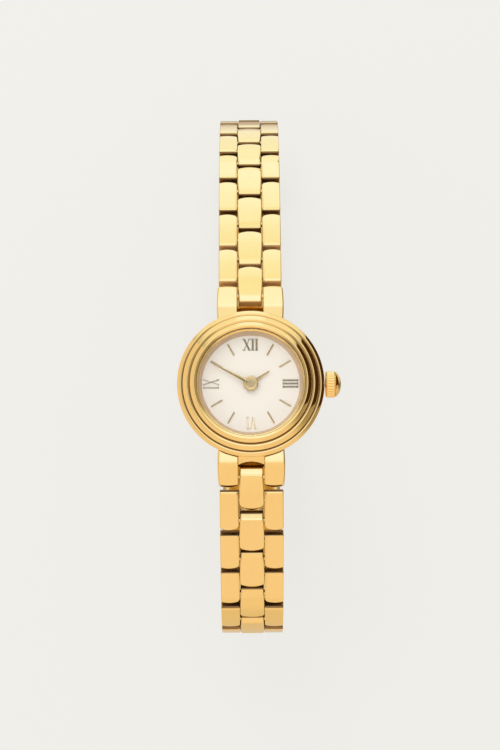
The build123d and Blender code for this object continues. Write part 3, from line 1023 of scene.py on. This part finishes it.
def roman_strokes(text, height, heavy, hair):
    """Outlines of a Roman numeral in a serif face, centred on its middle."""
    low, high, outlines = -height / 2, height / 2, []
    at = -sum(LETTER_WIDTHS[letter] for letter in text) / 2

    def stroke(start, end, width):
        outlines.append(stroke_outline((start, low), (end, high), width))

    def serifs(x, reach, levels=(low, high - hair)):
        outlines.extend(stroke_outline((x, y), (x, y + hair), 2 * reach) for y in levels)

    for letter in text:
        room = LETTER_WIDTHS[letter]
        middle, reach = at + room / 2, room * 0.34
        if letter == "I":
            stroke(middle, middle, heavy)
            serifs(middle, heavy * 0.78)
        if letter == "V":
            stroke(middle, middle - reach, heavy)
            stroke(middle, middle + reach, hair)
            serifs(middle - reach, heavy * 0.75, [high - hair])
            serifs(middle + reach, heavy * 0.6, [high - hair])
        if letter == "X":
            stroke(middle + reach, middle - reach, heavy)
            stroke(middle - reach, middle + reach, hair)
            for side in (-1, 1):
                serifs(middle + side * reach, heavy * 0.7)
        at += room
    return outlines


def hand_form(reach, width, tip, low):
    """A slim hand with a ridge along its middle, pointing to twelve."""
    tail, thick, ridge = 0.2, 0.04, 0.07
    points = []
    sections = ((-tail, tip), (0.0, width), (reach * 0.9, tip), (reach, tip * 0.35))
    for y, wide in sections:
        half, top = wide / 2, low + thick
        outline = ((-half, low), (half, low), (half, top), (0.0, top + ridge), (-half, top))
        points += [(x, y, z) for x, z in outline]
    return points, skin(len(outline), len(sections))


class WATCH_OT_hands(Operator):
    """Build the hour hand and the minute hand with its domed hub"""

    bl_idname = "watch.hands"
    bl_label = "Hands"

    def execute(self, context):
        hub = context.scene.watch_dial.hub_radius
        hour_low = corners("hour_hand")[0].z
        dome_rise, roll, slope_run, slope_fall = 0.12, 0.18, 0.17, 0.06
        sunk_radius, sunk_rise, collar_edge, collar_rise = 0.58, 0.05, 0.1, 0.12
        low = corners("minute_hand")[1].z - dome_rise
        bore, rim, post_radius, post_start = 0.57, hub - roll, 0.3, 2.3
        hour = Shape()
        hour.add(*hand_form(reach=3.1, width=0.46, tip=0.2, low=hour_low))
        collar = [(bore, hour_low), (hub, hour_low)]
        collar += [(hub, hour_low + collar_edge), (bore, hour_low + collar_rise)]
        hour.add(*turned_form(collar, 64))
        minute = Shape()
        minute.add(*hand_form(reach=6.2, width=0.5, tip=0.15, low=low))
        dome = [(0.0, low), (hub, low), *arc((rim, low), (roll, dome_rise), 0, 90, 6)[1:]]
        dome += arc((rim, low + slope_fall), (slope_run, slope_fall), 90, 180, 5)[1:]
        dome += arc((0.0, low + sunk_rise), (sunk_radius, sunk_rise), 0, 90, 10)[1:]
        minute.add(*turned_form(dome, 64, False))
        minute.add(*rod_form(post_radius, post_start, low, 40))
        for shape, node, turn in ((hour, "hour_hand", 57.0), (minute, "minute_hand", -62.0)):
            piece = shape.piece(node + "_blade", "hand_gilt", 12.0)
            self.shade(piece, hub)
            piece.data.transform(Matrix.Rotation(math.radians(-turn), 4, "Z"))
            dress(piece, node, node)
        return {"FINISHED"}

    def shade(self, piece, hub):
        """Paint shade on one half of the hand's ridge with the dark hand shade, and satin the sunk middle of the
        hub.
        """

        def choose(face):
            place, up = face.center / MM, face.normal.z
            if place.xy.length < 0.6 and up > 0.2:
                return 2
            return int(place.y > hub * 0.8 and place.x < -0.005 and up > 0.5)

        repaint(piece, ("hand_shade", "hub_cap"), choose)


class WATCH_OT_crown(Operator):
    """Build the crown: a ribbed grip and a polished dome"""

    bl_idname = "watch.crown"
    bl_label = "Crown"

    def execute(self, context):
        sizes = context.scene.watch_crown
        start, end, radius, grip = CROWN_LOW.x, CROWN_HIGH.x, CROWN_HIGH.y, sizes.grip_length
        foot_angle, cap_share, rib_share = 28, 0.53, 0.8
        foot, foot_rise, neck, neck_start, neck_end = 0.15, 0.1, 0.1, 0.08, 0.03
        whole, core = end - start, radius - sizes.rib_radius * rib_share
        profile = [(0, 0), (core - foot, 0), (core, foot_rise), (core, grip - neck_start)]
        profile += [(core - neck, grip - neck_end), (sizes.dome_radius, grip)]
        wide = sizes.dome_radius / math.cos(math.radians(foot_angle))
        tall = (whole - grip) / cap_share
        profile += arc((0.0, whole - tall), (wide, tall), foot_angle, 90, 16)[1:-1]
        profile.append((0, whole))
        body = Shape()
        place = Matrix.Translation((start, 0, HINGES["crown"].z))
        body.add(*turned_form(profile, 96, False), place @ LYING)
        piece = body.piece("crown_cap", GILT, 35.0)
        ribs = self.ribs(sizes, radius, place.translation)
        pair = {"active_object": piece, "selected_editable_objects": [piece, ribs]}
        with bpy.context.temp_override(**pair):
            bpy.ops.object.join()
        dress(piece, "crown", "crown")
        return {"FINISHED"}

    def ribs(self, sizes, radius, place):
        """The grip's ribs: one is drawn along Z, and a tree lays its copies round the crown."""
        end, tip = sizes.grip_length - 0.08, 0.06
        rib, wide = Shape(), sizes.rib_radius
        profile = [(0, 0.08), (tip, 0.08), (wide, 0.2), (wide, end - 0.12), (tip, end), (0, end)]
        rib.add(*turned_form(profile, 10, False), Matrix.Translation((radius - wide, 0, 0)))
        pattern = rib.piece("rib", GILT)
        values = {
            "Part": pattern,
            "Count": sizes.ribs,
            "Skip": 1,
            "Turn": (0.0, math.pi / 2, 0.0),
            "Place": tuple(place * MM),
            "Material": MATERIALS[GILT],
        }
        ribs = grown_piece("crown_ribs", ring_tree("Crown ribs"), values, GILT)
        bpy.data.objects.remove(pattern)
        return ribs


class WATCH_OT_links(Operator):
    """Build every row of the bracelet on its own body"""

    bl_idname = "watch.links"
    bl_label = "Bracelet links"

    def execute(self, context):
        sizes = context.scene.watch_links
        tree = link_row_tree()
        spacings = {"centre": 3.1, "side": 2.8}
        slopes = {"twelve": 0.2, "six": 1.0, "first_six": 0.5}
        patterns = {
            (rows, kind): self.link(sizes, rows, kind, spacings[kind], share)
            for rows, share in slopes.items()
            for kind in spacings
        }
        lit, last = link_names("twelve")[:4], link_names("twelve")[-1]
        for name, pin, spacing, heading, direction in row_places("twelve") + row_places("six"):
            kind = "centre" if "centre" in name else "side"
            rows = "first_six" if name == link_names("six")[0] else name.split("_")[0]
            pins = 0 if kind == "centre" else 2
            values = {
                "Link": patterns[rows, kind],
                "Paired": kind == "side",
                "Pins": 1 if name == last else pins,
                "Pin spacing": spacing * MM,
                "Pin radius": sizes.pin_radius * MM,
                "Pin length": 2 * sizes.side_inner * MM,
                "Turn": (-heading, 0.0, 0.0 if direction > 0 else math.pi),
                "Place": tuple(pin * MM),
                "Material": MATERIALS[GILT],
            }
            piece = grown_piece(name + "_polished", tree, values, GILT, 45.0)
            along = Vector((0.0, direction * math.cos(heading), -math.sin(heading)))
            # Painted shade in the slots, with a lighter painted shade on the near ends of the first four rows at
            # twelve
            self.paint_slot_shade(piece, along, "lit_slot_shade" if name in lit else "groove")
            dress(piece, name, name)
        for pattern in patterns.values():
            bpy.data.objects.remove(pattern)
        return {"FINISHED"}

    def paint_slot_shade(self, piece, along, near_shade_slot):
        """Paint shade on a link's ends and slot sides: dark gilt stands in for the shade in the gaps between rows.
        """

        def choose(face):
            facing = face.normal.dot(along)
            if abs(facing) > 0.62:
                return 1 if facing > 0 else 2
            return int(abs(face.normal.x) > 0.85 and abs(face.center.x) < 2.0 * MM)

        repaint(piece, ("groove", near_shade_slot), choose)

    def link(self, sizes, rows, kind, spacing, near_slope):
        """One link on its own pins, +Y away from the case and +Z out of the bracelet."""
        taper, nose = 0.0, sizes.nose
        if kind == "centre":
            end, west, east = sizes.centre_end, -sizes.centre_width / 2, sizes.centre_width / 2
            west_far = east_far = sizes.far_corner
            taper, facet, fall = sizes.taper, sizes.near_facet, sizes.near_facet_drop * near_slope
        else:
            end, west, east = sizes.side_end, sizes.side_inner, sizes.side_outer
            west_far, east_far = sizes.far_corner * 1.2, sizes.far_corner * 0.6
            facet, fall = 0.45, 0.1
        start, finish = -end, spacing + end
        taper_run, arch_run, foot, lip, floor_end = 3.2, 2.4, 0.1, 0.2, 0.6

        def narrow(y):
            share = 1 - eased(start, start + taper_run, y)
            return taper * share + round_off(y - start, sizes.near_corner)

        def left(y):
            return west + narrow(y) + round_off(finish - y, west_far)

        def right(y):
            return east - narrow(y) - round_off(finish - y, east_far)

        def top(y):
            chamfer = fall / facet * bent(start + facet - y, 0.1)
            arch = sizes.far_arch * max(0.0, (y - finish + arch_run) / arch_run) ** 2
            crown = sizes.crown * ((y - spacing / 2) / (spacing / 2 + end)) ** 2
            high = sizes.above_pin - 0.01 - chamfer - arch - crown
            high -= 0.3 * round_off(y - start, lip) / lip
            return foot + (high - foot) * (1 - round_off(finish - y, nose) / nose)

        def bottom(y):
            rise = round_off(y - start, floor_end) + round_off(finish - y, floor_end)
            return -sizes.below_pin + rise / floor_end * (sizes.below_pin - 0.06)

        def rolls(y):
            """The sides that face another column slope off more and more towards the case."""
            slope = sizes.flank * (1 - eased(start + 0.4, finish - 0.5, y))
            if kind == "centre":
                return ((0.1 + 0.3 * slope, 0.13),) * 2
            return (0.1 + slope, 0.13), (0.12, 0.16)

        places = end_stations(start, finish, nose, max(nose, sizes.far_corner), 26)
        bow = 0.3 if kind == "centre" else 0.22
        form = lofted_form(places, left, right, top, bottom, rolls, 0.05, bow)
        return new_piece(f"{rows}_{kind}_link_pattern", *form, GILT)


class WATCH_OT_works(Operator):
    """Give the movement's pieces their finishes"""

    bl_idname = "watch.works"
    bl_label = "Movement and clasp finishes"

    def execute(self, context):
        slots = {row["node"]: row["material_slot"] for row in frame["record"]["subparts"]}
        for name, node in frame["nodes"].items():
            node.data.materials.clear()
            node.data.materials.append(MATERIALS[slots[name]])
        return {"FINISHED"}


TENT_GAIN = 2.2
CARD_FOOT = (0.76, 0.64, 0.54)
CARD_LOW = CAD_BOUNDS[0].z / MM - 0.02
# Each card's colour, and the x, z, front end and back end of its folds
CARDS = {
    "dark_card": (
        (0.06, 0.022, 0.004),
        ((13.0, CARD_LOW, 14.0, 60.0), (32.0, CARD_LOW, 14.0, 60.0), (32.0, 48.0, -20.0, 18.0)),
    ),
    "warm_card": (
        (0.92, 0.77, 0.72),
        ((-13.0, CARD_LOW, -60.0, 30.0), (-32.0, CARD_LOW, -60.0, 30.0), (-32.0, 46.0, -60.0, 30.0)),
    ),
}
# The tent's colours from the front, -1, over the top, 0, to the back, 1
TENT_LENGTHWISE = (
    (-0.6, (0.98, 0.82, 0.79)),
    (-0.3, (0.98, 0.8, 0.74)),
    (-0.03, (1.0, 0.87, 0.86)),
    (0.07, (1.05, 1.18, 1.6)),
    (0.14, (1.1, 1.36, 2.3)),
    (0.18, (1.0, 1.01, 1.22)),
    (0.28, (1.01, 1.05, 1.32)),
    (0.45, (1.08, 1.3, 2.1)),
    (0.6, (1.03, 1.14, 1.42)),
    (0.74, (1.02, 1.07, 1.15)),
    (0.85, (1.03, 1.16, 1.5)),
    (1.0, (1.06, 1.26, 1.9)),
)
# What the floor shows to the metal, from the front to the back, in metres from the watch
FLOOR_LENGTHWISE = (
    (-0.2, (0.95, 0.78, 0.7)),
    (-0.06, (0.8, 0.68, 0.58)),
    (0.04, (0.5, 0.42, 0.36)),
    (0.054, (0.56, 0.48, 0.42)),
    (0.068, (1.0, 1.12, 1.45)),
    (0.2, (1.04, 1.2, 1.6)),
)
# The tent's sides, from left to right and at the back and front ends
LEFT_SIDE, RIGHT_SIDE = (0.46, 0.39, 0.4), (0.42, 0.34, 0.27)
BACK_SIDE, FRONT_SIDE = (1.0, 0.98, 1.05), (0.93, 0.77, 0.71)
# Each lamp's place, size, power and colour
LAMPS = {
    "back softbox": ((-60.0, 210.0, 260.0), 260.0, 0.34, (1.0, 0.985, 0.95)),
    "left softbox": ((-260.0, -30.0, 200.0), 180.0, 0.1, (1.0, 0.97, 0.92)),
}


def ramp(value, low, high):
    """A socket that is 0 at low, 1 at high and straight between them."""
    return ((value - low) / (high - low)).maths("MAXIMUM", 0.0).maths("MINIMUM", 1.0)


def tent_colour(colour):
    return tuple(channel / TENT_GAIN for channel in colour)


def lengthwise(maker, value, scale, tones):
    """Colours along a value, whose scale brings it between -0.5 and 0.5."""
    stops = [(place * scale + 0.5, tent_colour(colour)) for place, colour in tones]
    return maker.add("ShaderNodeValToRGB", {"Fac": value * scale + 0.5}, stops).outputs[0]


class WATCH_OT_studio(Operator):
    """Build the pale floor, the lamps, the surroundings and the camera"""

    bl_idname = "watch.studio"
    bl_label = "Studio"

    def execute(self, context):
        colour = tuple(context.scene.watch_finish.backdrop)
        self.world(context.scene, colour)
        self.floor(colour, CAD_BOUNDS[0].z / MM - 0.05)
        self.tent()
        for name, (tone, folds) in CARDS.items():
            self.card(name, tone, folds)
        self.lamps()
        self.camera(context.scene)
        context.scene.view_settings.view_transform = "Standard"
        return {"FINISHED"}

    def world(self, scene, colour):
        scene.world = bpy.data.worlds.new("Studio")
        scene.world.use_nodes = True
        scene.world.node_tree.nodes.clear()
        maker = Maker(scene.world.node_tree)
        seen, _ = maker.seen_rays()
        sockets = {"Color": (1.0, 0.99, 0.97, 1.0), "Strength": 0.75}
        fill = maker.add("ShaderNodeBackground", sockets)
        shown = maker.add("ShaderNodeBackground", {"Color": opaque(colour), "Strength": 1.0})
        mixed = maker.mix_shaders(seen, fill, shown)
        maker.add("ShaderNodeOutputWorld", {"Surface": mixed})

    def floor(self, colour, low):
        """A floor that keeps the watch's shadow, and shows its own tones to the metal."""
        maker = new_shader("Studio floor")
        seen, glossy = maker.seen_rays()
        matt = maker.add("ShaderNodeBsdfDiffuse", {"Color": opaque(colour)})
        mixed = maker.mix_shaders(seen * 0.82, matt, maker.glow(colour))
        across, reach, _ = maker.axes(maker.place())
        tones = lengthwise(maker, reach, 2.5, FLOOR_LENGTHWISE)
        shade = ramp(across, 0.02, 0.05) * ramp(across, 0.16, 0.12)
        shade = shade * ramp(reach + across * 0.25, 0.0, 0.02) * 0.85
        shaded = maker.mix(shade, tones, tent_colour((0.1, 0.06, 0.03)))
        whole = maker.mix_shaders(glossy, mixed, maker.glow(shaded, TENT_GAIN))
        half = 900.0
        points = [(-half, -half, low), (half, -half, low), (half, half, low), (-half, half, low)]
        floor = place_mesh("floor", plain_mesh("floor", points, [(0, 1, 2, 3)]))
        floor.data.materials.append(maker.finish(whole))

    def tent(self):
        """A dome that only reflections see: cream overhead and behind, warm in front and beside."""
        maker = new_shader("Light tent")
        unit = maker.add("ShaderNodeVectorMath", {0: maker.place()}, operation="NORMALIZE")
        x, y, _ = maker.axes(unit)

        def between(value, low, high):
            sockets = {"Value": value, "From Min": low, "From Max": high}
            node = maker.add("ShaderNodeMapRange", sockets, interpolation_type="SMOOTHSTEP")
            return maker.value(node)

        left, right, back, front = map(tent_colour, (LEFT_SIDE, RIGHT_SIDE, BACK_SIDE, FRONT_SIDE))
        level = (x * x + y * y).maths("SQRT")
        sides = maker.mix(between(x, -0.05, 0.05), left, right)
        sides = maker.mix(between(y / level, 0.6, 0.85), sides, back)
        sides = maker.mix(between(y / level, -0.75, -0.45), front, sides)
        away = between(x.maths("ABSOLUTE"), 0.12, 0.22)
        colour = maker.mix(away, lengthwise(maker, y, 0.5, TENT_LENGTHWISE), sides)
        dome = turned_form(arc((0, 0), 600.0, -90, 90, 24), 48, False)
        self.glossy_only("light_tent", *dome, maker.finish(maker.glow(colour, TENT_GAIN)))

    def card(self, name, colour, folds):
        """A bent card that only reflections see; below the case it fades to a pale foot."""
        maker = new_shader(name)
        _, along, height = maker.axes(maker.place())
        bend, fall = 10.0, 0.46
        sunk = (along / MM - bend).maths("MAXIMUM", 0.0) * fall
        tone = maker.mix(ramp(height / MM + sunk, -9.0, -4.0), CARD_FOOT, colour)
        points = [(x, y, z) for x, z, *ends in folds for y in ends]
        faces = [(0, 2, 3, 1), (2, 4, 5, 3)]
        self.glossy_only(name, points, faces, maker.finish(maker.glow(tone)))

    def glossy_only(self, name, points, faces, material):
        card = place_mesh(name, plain_mesh(name, points, faces))
        card.data.materials.append(material)
        for kind in ("camera", "diffuse", "shadow", "transmission"):
            setattr(card, "visible_" + kind, False)

    def lamps(self):
        for name, (place, size, power, colour) in LAMPS.items():
            data = bpy.data.lights.new(name, "AREA")
            data.shape, data.size, data.energy, data.color = "SQUARE", size * MM, power, colour
            lamp = bpy.data.objects.new(name, data)
            lamp.location = Vector(place) * MM
            lamp.rotation_euler = (-Vector(place)).to_track_quat("-Z", "Y").to_euler()
            lamp.visible_glossy = False
            bpy.context.scene.collection.objects.link(lamp)

    def camera(self, scene):
        """The photograph's view: 8.5 degrees from straight above towards six, and rolled a little."""
        distance, lean, target = 260.0, math.radians(8.5), Vector((0.0, 0.0, 4.6))
        roll, photo_height, shift = math.radians(-0.4), 750, (-0.8, 7.4)
        data = bpy.data.cameras.new("camera")
        data.sensor_fit, data.sensor_height, data.lens = "VERTICAL", 36.0, 92.4
        data.shift_x, data.shift_y = (pixels / photo_height for pixels in shift)
        data.clip_start, data.clip_end = 0.01, 10.0
        camera = bpy.data.objects.new("camera", data)
        offset = Vector((0.0, -distance * math.sin(lean), distance * math.cos(lean)))
        camera.location = (target + offset) * MM
        camera.rotation_euler = (-offset).to_track_quat("-Z", "Y").to_euler()
        camera.rotation_euler.rotate_axis("Z", roll)
        scene.collection.objects.link(camera)
        scene.camera = camera


OPERATORS = (
    WATCH_OT_works,
    WATCH_OT_case,
    WATCH_OT_back,
    WATCH_OT_bezel,
    WATCH_OT_glass,
    WATCH_OT_dial,
    WATCH_OT_hands,
    WATCH_OT_crown,
    WATCH_OT_links,
    WATCH_OT_studio,
)


class WATCH_PT_panel(Panel):
    """Lists the watch's sizes and the operators that build it"""

    bl_idname = "WATCH_PT_panel"
    bl_label = "Bracelet Watch"
    bl_space_type = "VIEW_3D"
    bl_region_type = "UI"
    bl_category = "Watch"

    def draw(self, context):
        layout = self.layout
        for name, group in SETTINGS.items():
            box = layout.box()
            for label in group.__annotations__:
                box.prop(getattr(context.scene, name), label)
        for operator in OPERATORS:
            layout.operator(operator.bl_idname)


def register():
    for group in SETTINGS.values():
        bpy.utils.register_class(group)
    for name, group in SETTINGS.items():
        setattr(bpy.types.Scene, name, PointerProperty(type=group))
    for operator in (*OPERATORS, WATCH_PT_panel):
        bpy.utils.register_class(operator)


def unregister():
    for operator in reversed((*OPERATORS, WATCH_PT_panel)):
        bpy.utils.unregister_class(operator)
    for name in SETTINGS:
        delattr(bpy.types.Scene, name)
    for group in SETTINGS.values():
        bpy.utils.unregister_class(group)


def main():
    register()
    make_materials(bpy.context.scene.watch_finish)
    for operator in OPERATORS:
        group, name = operator.bl_idname.split(".")
        getattr(getattr(bpy.ops, group), name)()


if __name__ == "__main__":
    main()
